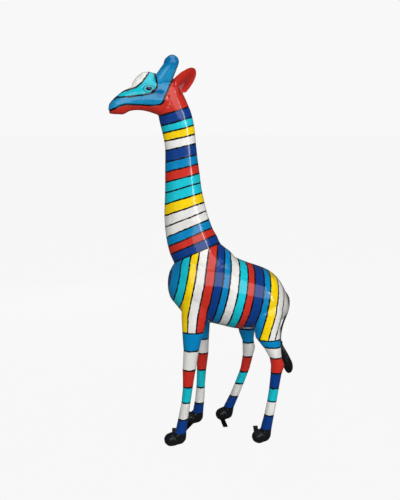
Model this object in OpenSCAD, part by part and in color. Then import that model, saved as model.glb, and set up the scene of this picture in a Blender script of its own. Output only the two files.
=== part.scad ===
// Standing giraffe statue: cast resin half shells bonded over a welded steel armature.
// Millimetres. +Z up, the nose points along -Y, the animal's left side is +X.
// The origin is on the floor, under the middle of the statue's box.

/* [Overall size] */
// Height from the floor to the top of the horns
height = 2000; // [1500:10:2500]
// Length from the nose to the end of the tail tuft
length = 970; // [750:10:1200]
// Width of the trunk at its widest
trunk_width = 360; // [280:5:440]

/* [Shells] */
// Wall of the cast trunk, neck, head and leg shells
wall = 6; // [4:0.5:9]
// Thickness of the bonding bulkheads inside the neck
bulkhead_t = 8; // [5:1:14]

/* [Hooves] */
// Height of a hoof casting, up to where the leg shell starts
hoof_height = 70; // [55:1:90]
// Width of a hoof
hoof_width = 76; // [62:1:95]
// Reach of a front toe in front of the ankle
front_toe_reach = 90; // [72:1:110]
// Reach of a rear toe in front of the ankle
rear_toe_reach = 76; // [62:1:95]
// Reach of the heel behind the ankle
heel_reach = 22; // [16:1:30]

/* [Head fittings] */
// Radius of the eye balls
eye_r = 17; // [13:0.5:21]
// Radius of a horn's round top
horn_r = 34; // [28:1:42]
// Radius of a horn's root
horn_root_r = 29; // [24:1:36]
// Length of an ear from its root to its tip
ear_length = 128; // [105:1:155]
// Width of an ear
ear_width = 80; // [65:1:98]
// Wall of an ear's cup
ear_wall = 7; // [5:0.5:10]

/* [Tail] */
// Radius of the tail's stem
tail_r = 8; // [7:0.5:11]
// Radius of the steel wire inside the tail
tail_wire_r = 3; // [2:0.5:4]

/* [Armature] */
// Radius of the leg rods
leg_rod_r = 8; // [6:0.5:10]
// Outer radius of the spine tube and of the two crossbars
spine_r = 17; // [13:0.5:21]
// Wall of the spine tube, crossbars and neck tube
tube_wall = 3; // [2:0.5:4]
// Outer radius of the neck tube
neck_tube_r = 13.5; // [11:0.5:16]
// Slip clearance of the head rod inside the neck tube, on the radius
slip_gap = 0.5; // [0.2:0.1:1]

/* [Anchor tabs] */
// Width of the flat bar
tab_width = 25; // [20:1:30]
// Thickness of the flat bar
tab_t = 6; // [4:1:8]
// Length of bar that shows beside the hoof
tab_show = 72; // [58:1:90]
// Distance of the bar in front of the ankle
tab_forward = 38; // [30:1:46]
// Radius of the anchor bolt's hole
anchor_r = 5; // [4:0.5:6]
// Distance from the hole's centre to the end of the bar
anchor_edge = 44; // [38:1:50]

/* [Hidden] */

// The lists below are drawn for a statue of this size, and stretch with the overall sizes.
drawn_height = 2000;
drawn_length = 970;
drawn_width = 360;
kx = trunk_width / drawn_width;
ky = length / drawn_length;
kz = height / drawn_height;
big = 3 * max(height, length, trunk_width);
disc_t = 0.2;
LEFT = 1;
RIGHT = -1;

// A section is [x, y, z, half width, half depth, tilt]. It is an ellipse, and tilt turns its plane up
// about X: 0 is level, and 90 stands upright across the body.

// Trunk, from the breast to the rump
trunk_form = [
    [0, -198, 838, 24, 24, 90], [0, -188, 840, 66, 68, 90], [0, -155, 845, 108, 118, 90],
    [0, -100, 840, 146, 180, 90], [0, -40, 828, 162, 190, 90], [0, 30, 822, 172, 194, 90],
    [0, 100, 806, 178, 198, 90], [0, 165, 782, 180, 190, 90], [0, 230, 766, 178, 178, 90],
    [0, 290, 758, 172, 165, 90], [0, 340, 750, 160, 150, 90], [0, 385, 738, 136, 124, 90],
    [0, 418, 725, 100, 84, 90], [0, 438, 712, 60, 48, 90], [0, 447, 708, 24, 20, 90]
];
// Neck, from inside the shoulders to inside the throat
neck_form = [
    [0, 20, 880, 140, 168, 30], [0, -10, 940, 130, 155, 27], [0, -42, 998, 114, 132, 22],
    [0, -63, 1045, 103, 131, 20], [0, -80, 1088, 94, 125, 18], [0, -92, 1132, 87, 120, 16],
    [0, -104, 1191, 80, 113, 15], [0, -112, 1255, 74, 106, 15], [0, -117, 1322, 69, 97, 14],
    [0, -121, 1401, 65, 91, 14], [0, -126, 1480, 61, 85, 14], [0, -130, 1565, 58, 80, 14],
    [0, -138, 1628, 58, 82, 15], [0, -152, 1690, 60, 83, 16], [0, -165, 1735, 60, 79, 17],
    [0, -180, 1792, 60, 68, 20], [0, -196, 1840, 54, 52, 20]
];
// Where the neck meets the trunk, and where the head meets the neck: [y, z, tilt]
neck_joint = [-42, 996, 22];
head_joint = [-165, 1728, 17];
// Head, from the lips to the nape
head_form = [
    [0, -485, 1742, 18, 15, 90], [0, -478, 1744, 30, 27, 90], [0, -463, 1751, 38, 36, 90],
    [0, -440, 1761, 43, 47, 90], [0, -412, 1771, 45, 57, 90], [0, -385, 1785, 46, 56, 90],
    [0, -350, 1796, 50, 62, 90], [0, -315, 1804, 59, 72, 90], [0, -280, 1806, 65, 82, 90],
    [0, -245, 1806, 67, 94, 90], [0, -210, 1806, 65, 98, 90], [0, -175, 1808, 58, 88, 90],
    [0, -145, 1806, 47, 68, 90], [0, -122, 1802, 28, 38, 90]
];
// Raised bone on the forehead
brow_form = [
    [0, -368, 1848, 14, 16, 90], [0, -345, 1864, 26, 32, 90], [0, -315, 1876, 33, 42, 90],
    [0, -285, 1878, 36, 43, 90], [0, -250, 1872, 36, 40, 90], [0, -215, 1870, 36, 36, 90]
];

// Front legs, from inside the shoulder to the hoof: one x, size and height for both sides
front_leg_form = [
    [76, 860, 36, 50], [88, 790, 60, 78], [100, 700, 60, 76], [110, 640, 52, 62], [117, 580, 42, 50],
    [121, 520, 36, 41], [124, 460, 32, 37], [125, 415, 32, 35], [125, 365, 27, 30],
    [125, 310, 25, 26], [125, 230, 24, 24], [125, 150, 26, 26], [125, 80, 30, 29], [125, 30, 30, 30]
];
front_left_line = [-50, -56, -64, -77, -87, -92, -99, -104, -108, -112, -122, -136, -148, -152];
front_right_line = [-45, -40, -30, -18, -9, -3, -1, 0, -1, -4, -8, -13, -22, -26];
// Rear legs, from inside the haunch to the hoof
rear_leg_form = [
    [70, 850, 34, 44], [92, 780, 60, 72], [116, 700, 62, 82], [133, 640, 54, 72], [145, 577, 46, 66],
    [151, 515, 38, 43], [154, 465, 31, 32], [155, 425, 31, 36], [155, 375, 27, 29],
    [155, 300, 25, 26], [155, 228, 25, 25], [155, 150, 27, 26], [155, 80, 30, 29], [155, 30, 30, 30]
];
rear_left_line = [318, 316, 308, 302, 306, 332, 348, 359, 351, 342, 332, 318, 304, 298];
rear_right_line = [318, 314, 303, 288, 266, 256, 265, 271, 265, 250, 224, 193, 161, 145];
// Height of the bonded joint between each leg and the trunk
front_leg_joint = 616 * kz;
rear_leg_joint = 568 * kz;
// The front legs and their joints all lie in front of this place
front_leg_rear = 62;
// Turn of each anchor tab away from pointing straight in, towards the nose
tab_turn_front_left = -8;
tab_turn_front_right = 30;
tab_turn_rear_left = 0;
tab_turn_rear_right = 0;
// Angle that each tab is bent up by, beside its hoof: the left two stand up clear of the floor
tab_bend_front_left = 45;
tab_bend_front_right = 0;
tab_bend_rear_left = 40;
tab_bend_rear_right = 0;

// Centre lines of the armature: [y, z]
shoulder_at = [-60 * ky, 800 * kz];
hip_at = [322 * ky, 760 * kz];
crossbar_half = 88 * kx;
rod_ankle_z = 100 * kz;
rod_knee_z = 415 * kz;
neck_tube_top = [-150 * ky, 1670 * kz];
neck_tube_line = [[0, shoulder_at[0], shoulder_at[1]], [0, neck_tube_top[0], neck_tube_top[1]]];
spine_line = [[0, shoulder_at[0], shoulder_at[1]], [0, hip_at[0], hip_at[1]]];
// The head rod follows the neck tube up, and then bends forward into the skull
head_rod_line = [
    neck_tube_at(1480 * kz), neck_tube_at(1700 * kz), [0, -185 * ky, 1755 * kz],
    [0, -270 * ky, 1795 * kz]
];
head_rod_r = neck_tube_r - tube_wall - slip_gap;

// Fittings
eye_at = [50 * kx, -288 * ky, 1836 * kz];
horn_root = [34 * kx, -198 * ky, 1890 * kz];
horn_top = [40 * kx, -173 * ky, height - horn_r];
ear_root = [46 * kx, -160 * ky, 1848 * kz];
// Turns of an ear about its own length, upwards, and outwards
ear_roll = 78;
ear_raise = 40;
ear_splay = 22;
tail_line = [
    [428, 780], [450, 745], [453, 700], [443, 656], [426, 612], [414, 565], [410, 520], [414, 478]
];
tail_wire_root = [[395, 792]];
tuft_form = [
    [0, 411, 505, 10, 10, 0], [0, 417, 470, 17, 17, 4], [0, 433, 425, 24, 24, 10],
    [0, 451, 380, 27, 27, 14], [0, 461, 348, 24, 24, 16], [0, 466, 328, 15, 16, 16],
    [0, 466, 319, 5, 6, 16]
];

// Hoof: heights of the toe and the heel as shares of the hoof's height, and their proportions
toe_level = 0.43;
toe_shape = [1, 1, 0.9];
heel_level = 0.5;
heel_shape = [0.84, 0.7, 0.8];
// Ear: radii of its root and tip as shares of its width, their places along it, and its broad middle
ear_root_share = 0.2;
ear_root_level = 0.16;
ear_tip_share = 0.1;
ear_middle_level = 0.5;
ear_middle_shape = [1, 1.1, 0.45];

// Stretches of the neck: its stump on the trunk, its throat in the head, and its two joints
neck_stump = sections(neck_form, 0, 3);
neck_stump_cavity = sections(neck_form, 0, 4);
neck_throat = sections(neck_form, 13, 16);
neck_low_joint = sections(neck_form, 1, 5);
neck_top_joint = sections(neck_form, 12, 16);

// Sides of each loft's rings. The cavities use half as many.
trunk_sides = 32;
neck_sides = 28;
head_sides = 28;
leg_sides = 18;

function sized(s) = [
    s[0] * kx, s[1] * ky, s[2] * kz, s[3] * kx, s[4] * (s[5] > 45 ? kz : ky), s[5]
];
function leg_sections(form, line, side) = [
    for (i = [0:len(form) - 1]) [side * form[i][0], line[i], form[i][1], form[i][2], form[i][3], 0]
];
function at_end(list, i) = list[max(0, min(len(list) - 1, i))];
// Catmull-Rom point between b and c
function eased(a, b, c, d, t) =
    0.5 * (2 * b + (c - a) * t + (2 * a - 5 * b + 4 * c - d) * t * t
    + (3 * b - a - 3 * c + d) * t * t * t);
function smoothed(list, steps) = [
    for (i = [0:len(list) - 2]) for (k = [0:steps - 1])
        eased(at_end(list, i - 1), list[i], list[i + 1], at_end(list, i + 2), k / steps),
    list[len(list) - 1]
];
function sections(list, first, last) = [for (i = [first:last]) list[i]];
function inner(list) = sections(list, 1, len(list) - 2);
function point_on(list, z) = [
    lookup(z, [for (s = list) [s[2], s[0]]]), lookup(z, [for (s = list) [s[2], s[1]]]), z
];
function spread(line) = [for (p = line) [0, p[0] * ky, p[1] * kz]];
function neck_tube_at(z) =
    let (low = neck_tube_line[0], rise = neck_tube_line[1] - low)
    low + rise * (z - low[2]) / rise[2];

// One elliptical section, drawn smaller all round by inset
module disc(s, inset, sides) {
    translate([s[0], s[1], s[2]])
        rotate([s[5], 0, 0])
            scale([s[3] - inset, s[4] - inset, 1])
                cylinder(r = 1, h = disc_t, center = true, $fn = sides);
}

// Smooth body through a list of sections
module loft(form, sides, inset = 0, steps = 2) {
    rings = smoothed([for (s = form) sized(s)], steps);
    for (i = [0:len(rings) - 2])
        hull() {
            disc(rings[i], inset, sides);
            disc(rings[i + 1], inset, sides);
        }
}

// The cavity of a loft, one wall inside it
module hollow(form, sides) {
    loft(form, sides / 2, inset = wall, steps = 1);
}

module half_space(side) {
    translate([side > 0 ? 0 : -big, -big / 2, -big / 2])
        cube([big, big, big]);
}

module above(joint) {
    translate([0, joint[0] * ky, joint[1] * kz])
        rotate([joint[2], 0, 0])
            translate([-big / 2, -big / 2, 0])
                cube([big, big, big]);
}

module below(joint) {
    translate([0, joint[0] * ky, joint[1] * kz])
        rotate([joint[2], 0, 0])
            translate([-big / 2, -big / 2, -big])
                cube([big, big, big]);
}

// Rod or tube along a line of points, with round elbows
module rod_along(points, r) {
    for (i = [0:len(points) - 2]) {
        step = points[i + 1] - points[i];
        bearing = [0, acos(step[2] / norm(step)), atan2(step[1], step[0])];
        translate(points[i])
            rotate(bearing)
                cylinder(r = r, h = norm(step), $fn = 32);
        if (i > 0)
            translate(points[i])
                sphere(r = r, $fn = 32);
    }
}

module leg_outer(form, line, side) {
    loft(leg_sections(form, line, side), leg_sides, steps = 1);
}

module leg_hollow(form, line, side) {
    hollow(leg_sections(form, line, side), leg_sides);
}

module all_legs_outer() {
    leg_outer(front_leg_form, front_left_line, LEFT);
    leg_outer(front_leg_form, front_right_line, RIGHT);
    leg_outer(rear_leg_form, rear_left_line, LEFT);
    leg_outer(rear_leg_form, rear_right_line, RIGHT);
}

module all_legs_hollow() {
    leg_hollow(front_leg_form, front_left_line, LEFT);
    leg_hollow(front_leg_form, front_right_line, RIGHT);
    leg_hollow(rear_leg_form, rear_left_line, LEFT);
    leg_hollow(rear_leg_form, rear_right_line, RIGHT);
}

// Everything below the leg joints: the front joint is the higher one
module leg_space() {
    translate([-big / 2, -big / 2, rear_leg_joint - big])
        cube([big, big, big]);
    translate([-big / 2, front_leg_rear * ky - big, front_leg_joint - big])
        cube([big, big, big]);
}

module trunk_outer() {
    loft(trunk_form, trunk_sides);
    loft(neck_stump, neck_sides);
    all_legs_outer();
}

module trunk_hollow() {
    hollow(inner(trunk_form), trunk_sides);
    hollow(neck_stump_cavity, neck_sides);
    all_legs_hollow();
}

module trunk_shell(side) {
    intersection() {
        half_space(side);
        difference() {
            trunk_outer();
            trunk_hollow();
            above(neck_joint);
            leg_space();
            tail_core();
        }
    }
}

module neck_shell(side) {
    intersection() {
        half_space(side);
        above(neck_joint);
        below(head_joint);
        difference() {
            loft(neck_form, neck_sides);
            hollow(neck_form, neck_sides);
        }
    }
}

module head_outer() {
    loft(head_form, head_sides);
    loft(brow_form, head_sides, steps = 1);
    loft(neck_throat, neck_sides);
}

module head_hollow() {
    hollow(inner(head_form), head_sides);
    hollow(neck_throat, neck_sides);
}

module eye_ball(side) {
    translate([side * eye_at[0], eye_at[1], eye_at[2]])
        sphere(r = eye_r, $fn = 32);
}

module head_shell(side) {
    intersection() {
        half_space(side);
        above(head_joint);
        difference() {
            head_outer();
            head_hollow();
            eye_ball(side);
        }
    }
}

module leg_shell(form, line, side, joint_z) {
    intersection() {
        translate([-big / 2, -big / 2, hoof_height])
            cube([big, big, joint_z - hoof_height]);
        difference() {
            leg_outer(form, line, side);
            leg_hollow(form, line, side);
        }
    }
}

function leg_point(form, line, side, z) =
    point_on([for (s = leg_sections(form, line, side)) sized(s)], z);
function ankle(form, line, side) = leg_point(form, line, side, hoof_height);

function rod_line(form, line, side, top) =
    let (at = ankle(form, line, side))
    [
        [at[0], at[1] - tab_forward, tab_t], [at[0], at[1], rod_ankle_z],
        leg_point(form, line, side, rod_knee_z), [side * (crossbar_half - spine_r), top[0], top[1]]
    ];

// Solid hoof: a round toe, a heel, and the stub that the leg shell stands on
module hoof(form, line, side, toe_reach, turn, bend) {
    at = ankle(form, line, side);
    foot = leg_sections(form, line, side);
    difference() {
        intersection() {
            union() {
                loft(sections(foot, len(foot) - 3, len(foot) - 1), leg_sides, steps = 1);
                translate([at[0], at[1], 0])
                    hoof_block(0.5 * hoof_width, toe_reach);
            }
            translate([-big / 2, -big / 2, 0])
                cube([big, big, hoof_height]);
        }
        rod_along([[at[0], at[1] - tab_forward, tab_t], [at[0], at[1], rod_ankle_z]], leg_rod_r);
        tab_bar(at, side, turn, bend);
    }
}

module hoof_block(r, toe_reach) {
    hull() {
        translate([0, r - toe_reach, toe_level * hoof_height])
            scale(toe_shape)
                sphere(r = r, $fn = 24);
        translate([0, heel_reach - heel_shape[1] * r, heel_level * hoof_height])
            scale(heel_shape)
                sphere(r = r, $fn = 24);
    }
}

// Carries a tab's own X to the line that the tab takes, from under the hoof to the statue's middle
module tab_place(at, side, turn) {
    translate([at[0], at[1] - tab_forward, 0])
        rotate([0, 0, side > 0 ? 180 + turn : -turn])
            children();
}

// Flat bar that lies under the hoof and is bent up beside it
module tab_bar(at, side, turn, bend) {
    end = [0.5 * hoof_width + tab_show * cos(bend), tab_show * sin(bend)];
    tab_place(at, side, turn)
        rotate([90, 0, 0])
            linear_extrude(tab_width, center = true)
                polygon([
                    [-0.5 * tab_width, 0], [0.5 * hoof_width, 0], end,
                    end + tab_t * [-sin(bend), cos(bend)],
                    [0.5 * hoof_width - tab_t * tan(bend / 2), tab_t], [-0.5 * tab_width, tab_t]
                ]);
}

module tab(form, line, side, turn, bend) {
    at = ankle(form, line, side);
    color("black")
        difference() {
            tab_bar(at, side, turn, bend);
            tab_place(at, side, turn)
                translate([0.5 * hoof_width, 0, 0])
                    rotate([0, -bend, 0])
                        translate([tab_show - anchor_edge, 0, -1])
                            cylinder(r = anchor_r, h = tab_t + 2, $fn = 48);
        }
}

module horn(side) {
    difference() {
        hull() {
            translate([side * horn_root[0], horn_root[1], horn_root[2]])
                sphere(r = horn_root_r, $fn = 20);
            translate([side * horn_top[0], horn_top[1], horn_top[2]])
                sphere(r = horn_r, $fn = 20);
        }
        head_outer();
    }
}

// A leaf-shaped cup, drawn lying along +Y with its open side up
module ear_leaf(grow) {
    hull() {
        translate([0, ear_root_level * ear_length, 0])
            sphere(r = ear_root_share * ear_width + grow, $fn = 14);
        translate([0, ear_middle_level * ear_length, 0])
            scale(ear_middle_shape)
                sphere(r = 0.5 * ear_width + grow, $fn = 20);
        translate([0, ear_length - ear_tip_share * ear_width, 0])
            sphere(r = ear_tip_share * ear_width + grow, $fn = 14);
    }
}

module ear(side) {
    difference() {
        translate([side * ear_root[0], ear_root[1], ear_root[2]])
            mirror([side > 0 ? 0 : 1, 0, 0])
                rotate([0, 0, -ear_splay])
                    rotate([ear_raise, 0, 0])
                        rotate([0, ear_roll, 0])
                            difference() {
                                ear_leaf(0);
                                translate([0, 0, ear_wall])
                                    ear_leaf(-0.5 * ear_wall);
                            }
        head_outer();
    }
}

// Rounded cord of a given radius through a list of points
module bead_chain(points, r) {
    for (i = [0:len(points) - 2])
        hull() {
            translate(points[i])
                sphere(r = r, $fn = 10);
            translate(points[i + 1])
                sphere(r = r, $fn = 10);
        }
}

module tail_outer() {
    bead_chain(smoothed(spread(tail_line), 2), tail_r);
}

module tail_core() {
    bead_chain(smoothed(spread(concat(tail_wire_root, tail_line)), 1), tail_wire_r);
}

module tail_stem() {
    color("black")
        difference() {
            tail_outer();
            trunk_outer();
            tail_core();
        }
}

module tail_tuft() {
    color("black")
        difference() {
            loft(tuft_form, leg_sides);
            tail_outer();
        }
}

module tail_wire() {
    color("silver")
        tail_core();
}

// Plate that fills the neck's inside at a joint, with a hole for the steel
module bulkhead(joint, sections, line, hole_r) {
    difference() {
        intersection() {
            loft(sections, neck_sides / 2, inset = wall, steps = 3);
            above(joint);
            translate([0, -sin(joint[2]) * bulkhead_t, cos(joint[2]) * bulkhead_t])
                below(joint);
        }
        rod_along(line, hole_r);
    }
}

module crossbar(at) {
    translate([-crossbar_half, at[0], at[1]])
        rotate([0, 90, 0])
            cylinder(r = spine_r, h = 2 * crossbar_half, $fn = 48);
}

module crossbar_tube(at) {
    difference() {
        crossbar(at);
        translate([-crossbar_half - 1, at[0], at[1]])
            rotate([0, 90, 0])
                cylinder(r = spine_r - tube_wall, h = 2 * crossbar_half + 2, $fn = 48);
    }
}

module leg_rod(form, line, side, top) {
    difference() {
        bead_chain(smoothed(rod_line(form, line, side, top), 3), leg_rod_r);
        translate([-big / 2, -big / 2, tab_t - big])
            cube([big, big, big]);
        crossbar(top);
    }
}

module trunk_shell_left() { color("dodgerblue") trunk_shell(LEFT); }
module trunk_shell_right() { color("deepskyblue") trunk_shell(RIGHT); }
module neck_shell_left() { color("gold") neck_shell(LEFT); }
module neck_shell_right() { color("orange") neck_shell(RIGHT); }
module head_shell_left() { color("turquoise") head_shell(LEFT); }
module head_shell_right() { color("mediumturquoise") head_shell(RIGHT); }

module leg_front_left() {
    color("white") leg_shell(front_leg_form, front_left_line, LEFT, front_leg_joint);
}
module leg_front_right() {
    color("red") leg_shell(front_leg_form, front_right_line, RIGHT, front_leg_joint);
}
module leg_rear_left() {
    color("white") leg_shell(rear_leg_form, rear_left_line, LEFT, rear_leg_joint);
}
module leg_rear_right() {
    color("red") leg_shell(rear_leg_form, rear_right_line, RIGHT, rear_leg_joint);
}

module hoof_front_left() {
    color("black")
        hoof(front_leg_form, front_left_line, LEFT, front_toe_reach,
            tab_turn_front_left, tab_bend_front_left);
}
module hoof_front_right() {
    color("black")
        hoof(front_leg_form, front_right_line, RIGHT, front_toe_reach,
            tab_turn_front_right, tab_bend_front_right);
}
module hoof_rear_left() {
    color("black")
        hoof(rear_leg_form, rear_left_line, LEFT, rear_toe_reach, tab_turn_rear_left, tab_bend_rear_left);
}
module hoof_rear_right() {
    color("black")
        hoof(rear_leg_form, rear_right_line, RIGHT, rear_toe_reach,
            tab_turn_rear_right, tab_bend_rear_right);
}

module horn_left() { color("deepskyblue") horn(LEFT); }
module horn_right() { color("deepskyblue") horn(RIGHT); }
module ear_left() { color("firebrick") ear(LEFT); }
module ear_right() { color("firebrick") ear(RIGHT); }
module eye_left() { color("midnightblue") eye_ball(LEFT); }
module eye_right() { color("midnightblue") eye_ball(RIGHT); }

module neck_bulkhead() {
    color("tan")
        bulkhead(neck_joint, neck_low_joint, neck_tube_line, neck_tube_r);
}
module head_bulkhead() {
    color("tan")
        bulkhead(head_joint, neck_top_joint, head_rod_line, head_rod_r);
}

module spine_tube() {
    color("gray")
        difference() {
            rod_along(spine_line, spine_r);
            rod_along(spine_line, spine_r - tube_wall);
            crossbar(shoulder_at);
            crossbar(hip_at);
        }
}
module shoulder_crossbar() { color("gray") crossbar_tube(shoulder_at); }
module hip_crossbar() { color("gray") crossbar_tube(hip_at); }

module neck_tube() {
    color("gray")
        difference() {
            rod_along(neck_tube_line, neck_tube_r);
            rod_along(neck_tube_line, neck_tube_r - tube_wall);
            crossbar(shoulder_at);
        }
}
module head_rod() { color("gray") bead_chain(smoothed(head_rod_line, 3), head_rod_r); }

module leg_rod_front_left() {
    color("gray") leg_rod(front_leg_form, front_left_line, LEFT, shoulder_at);
}
module leg_rod_front_right() {
    color("gray") leg_rod(front_leg_form, front_right_line, RIGHT, shoulder_at);
}
module leg_rod_rear_left() {
    color("gray") leg_rod(rear_leg_form, rear_left_line, LEFT, hip_at);
}
module leg_rod_rear_right() {
    color("gray") leg_rod(rear_leg_form, rear_right_line, RIGHT, hip_at);
}

module tab_front_left() {
    tab(front_leg_form, front_left_line, LEFT, tab_turn_front_left, tab_bend_front_left);
}
module tab_front_right() {
    tab(front_leg_form, front_right_line, RIGHT, tab_turn_front_right, tab_bend_front_right);
}
module tab_rear_left() {
    tab(rear_leg_form, rear_left_line, LEFT, tab_turn_rear_left, tab_bend_rear_left);
}
module tab_rear_right() {
    tab(rear_leg_form, rear_right_line, RIGHT, tab_turn_rear_right, tab_bend_rear_right);
}

trunk_shell_left();
trunk_shell_right();
neck_shell_left();
neck_shell_right();
head_shell_left();
head_shell_right();
leg_front_left();
leg_front_right();
leg_rear_left();
leg_rear_right();
hoof_front_left();
hoof_front_right();
hoof_rear_left();
hoof_rear_right();
horn_left();
horn_right();
ear_left();
ear_right();
eye_left();
eye_right();
tail_stem();
tail_tuft();
tail_wire();
neck_bulkhead();
head_bulkhead();
spine_tube();
shoulder_crossbar();
hip_crossbar();
neck_tube();
head_rod();
leg_rod_front_left();
leg_rod_front_right();
leg_rod_rear_left();
leg_rod_rear_right();
tab_front_left();
tab_front_right();
tab_rear_left();
tab_rear_right();
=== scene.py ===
"""The striped giraffe statue: a smooth painted skin, hooves, ears, eyes and tail around the CAD frame."""

import math

import bmesh
import bpy
import numpy as np
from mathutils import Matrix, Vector


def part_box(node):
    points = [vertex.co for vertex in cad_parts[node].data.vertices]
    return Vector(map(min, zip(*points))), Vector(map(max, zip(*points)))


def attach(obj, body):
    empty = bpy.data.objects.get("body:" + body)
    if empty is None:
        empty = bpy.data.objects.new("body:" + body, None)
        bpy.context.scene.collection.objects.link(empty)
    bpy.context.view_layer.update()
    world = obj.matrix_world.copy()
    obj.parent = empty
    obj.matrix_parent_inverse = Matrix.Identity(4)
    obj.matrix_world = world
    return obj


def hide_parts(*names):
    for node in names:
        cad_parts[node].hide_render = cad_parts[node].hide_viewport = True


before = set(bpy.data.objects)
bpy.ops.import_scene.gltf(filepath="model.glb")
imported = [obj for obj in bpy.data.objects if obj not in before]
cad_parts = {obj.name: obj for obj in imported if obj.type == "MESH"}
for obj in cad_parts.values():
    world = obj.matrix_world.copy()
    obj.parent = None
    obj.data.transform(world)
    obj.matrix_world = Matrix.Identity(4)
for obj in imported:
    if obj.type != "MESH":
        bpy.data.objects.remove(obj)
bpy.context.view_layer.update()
MM = 0.001

# ---------------------------------------------------------------- sizes taken from the design
SIDES = {"left": 1, "right": -1}
SKIN_VOXEL = 4.2 * MM
DETAIL_VOXEL = 2.4 * MM
SKIN_WALL = 3.0 * MM
NECK_JOINT = (-42 * MM, 996 * MM, math.radians(22))
HEAD_JOINT = (-165 * MM, 1728 * MM, math.radians(17))
HOOF_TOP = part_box("hoof_front_left")[1].z
FRONT_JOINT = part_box("leg_front_left")[1].z
REAR_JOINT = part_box("leg_rear_left")[1].z
FRONT_LEG_REAR = 62 * MM
HORN_CUT = 1929 * MM
# The place that the trunk's first stripe starts from, well in front of the breast
AHEAD = -400 * MM
# Bands per metre past the first and last lines of a striped part
SPARE_RATE = 20.0

# Paint, as linear red, green and blue
NAVY = (0.003, 0.046, 0.25)
MID = (0.0, 0.235, 0.53)
TURQ = (0.008, 0.55, 0.66)
YELLOW = (0.98, 0.68, 0.003)
RED = (0.62, 0.03, 0.018)
WHITE = (0.83, 0.82, 0.79)
BLACK = (0.006, 0.007, 0.009)
# A darker blue laid on as painted shade: in the hollow below the eye and towards the horns' tops
PAINTED_SHADE_BLUE = (0.0, 0.15, 0.40)
# The head's blue: the mid blue paint made lighter by a painted sheen of the soft boxes
HEAD_BLUE_WITH_SHEEN = (0.012, 0.28, 0.55)
LID_BLUE = (0.12, 0.53, 0.64)
FOLD_BLUE = (0.0, 0.20, 0.30)
# Half the width of an outline, and how far a hand-painted border strays
LINE = 4.3 * MM
STRAY = 1.6 * MM

# The camera, as the photograph's perspective gives it
AZIMUTH = math.radians(82)
PITCH = math.radians(10.84)
VIEW = (math.sin(AZIMUTH), -math.cos(AZIMUTH))
DISTANCE = 3.6
EYE = (VIEW[0] * DISTANCE, VIEW[1] * DISTANCE - 0.03, 1.7085)
LENS = 50.58
# Brightness of the surround where the camera looks at it, where light comes from it, and in reflections
PALE = 0.94
AMBIENT = 0.16
MIRRORED = 0.05


# ---------------------------------------------------------------- small mesh helpers
def mesh_arrays(obj):
    mesh = obj.data
    co = np.empty(len(mesh.vertices) * 3, np.float32)
    mesh.vertices.foreach_get("co", co)
    return co.reshape(-1, 3).astype(float), [tuple(p.vertices) for p in mesh.polygons]


def new_object(name, co, faces):
    mesh = bpy.data.meshes.new(name)
    mesh.from_pydata([tuple(c) for c in co], [], faces)
    mesh.validate()
    mesh.update()
    obj = bpy.data.objects.new(name, mesh)
    bpy.context.scene.collection.objects.link(obj)
    return obj


def remeshed(co, faces, voxel):
    """One closed skin round a heap of closed solids: its vertices and faces."""
    heap = new_object("heap", co, faces)
    step = heap.modifiers.new("remesh", "REMESH")
    step.mode = "VOXEL"
    step.voxel_size = voxel
    bpy.context.view_layer.update()
    done = heap.evaluated_get(bpy.context.evaluated_depsgraph_get())
    mesh = done.to_mesh()
    out_co = np.empty(len(mesh.vertices) * 3, np.float32)
    mesh.vertices.foreach_get("co", out_co)
    out_faces = np.empty(len(mesh.polygons) * 4, np.int32)
    mesh.polygons.foreach_get("vertices", out_faces)
    done.to_mesh_clear()
    bpy.data.objects.remove(heap)
    return out_co.reshape(-1, 3).astype(float), out_faces.reshape(-1, 4)


def edge_pairs(faces):
    """Each edge of a quad mesh once, as pairs of vertex numbers."""
    pairs = np.concatenate([faces[:, [i, (i + 1) % 4]] for i in range(4)])
    pairs.sort(axis=1)
    return np.unique(pairs, axis=0)


def outer_skin(co, faces):
    """Only the largest connected piece, which is the outside: the cavities are left out."""
    label = np.arange(len(co))
    pairs = edge_pairs(faces)
    while True:
        low = np.minimum(label[pairs[:, 0]], label[pairs[:, 1]])
        before = label.copy()
        np.minimum.at(label, pairs[:, 0], low)
        np.minimum.at(label, pairs[:, 1], low)
        label = label[label]
        if (label == before).all():
            break
    names, count = np.unique(label, return_counts=True)
    keep = label == names[count.argmax()]
    number = np.cumsum(keep) - 1
    return co[keep], number[faces[keep[faces[:, 0]]]]


def neighbour_mean(values, pairs, count):
    out = np.empty_like(values)
    for axis in range(values.shape[1]):
        column = values[:, axis]
        total = np.bincount(pairs[:, 0], column[pairs[:, 1]], len(values))
        total += np.bincount(pairs[:, 1], column[pairs[:, 0]], len(values))
        out[:, axis] = total / count
    return out


def smoothed(co, pairs, rounds, weight=None, press=0.5, lift=-0.52):
    """Taubin smoothing, which takes the facets off and keeps the size."""
    count = np.maximum(np.bincount(pairs.ravel(), minlength=len(co)), 1)
    weight = np.ones(len(co)) if weight is None else weight
    co = co.copy()
    for _ in range(rounds):
        for amount in (press, lift):
            co += (amount * weight)[:, None] * (neighbour_mean(co, pairs, count) - co)
    return co


def vertex_normals(co, faces):
    a, b = co[faces[:, 2]] - co[faces[:, 0]], co[faces[:, 3]] - co[faces[:, 1]]
    face_normal = np.cross(a, b)
    out = np.zeros_like(co)
    for i in range(4):
        for axis in range(3):
            out[:, axis] += np.bincount(faces[:, i], face_normal[:, axis], len(co))
    return out / np.maximum(np.linalg.norm(out, axis=1), 1e-12)[:, None]


def bump(at, centre, spread):
    """A soft hill, 1 at its centre, with its own spread along each axis."""
    return np.exp(-(((at - np.array(centre)) / np.array(spread)) ** 2).sum(axis=1))


def convex(co):
    shape = bmesh.new()
    for c in co:
        shape.verts.new(c)
    hull = bmesh.ops.convex_hull(shape, input=shape.verts)
    loose = [v for v in shape.verts if not v.link_faces]
    bmesh.ops.delete(shape, geom=loose, context="VERTS")
    shape.verts.index_update()
    out = np.array([v.co for v in shape.verts]), [tuple(v.index for v in f.verts) for f in shape.faces]
    shape.free()
    return out


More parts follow.
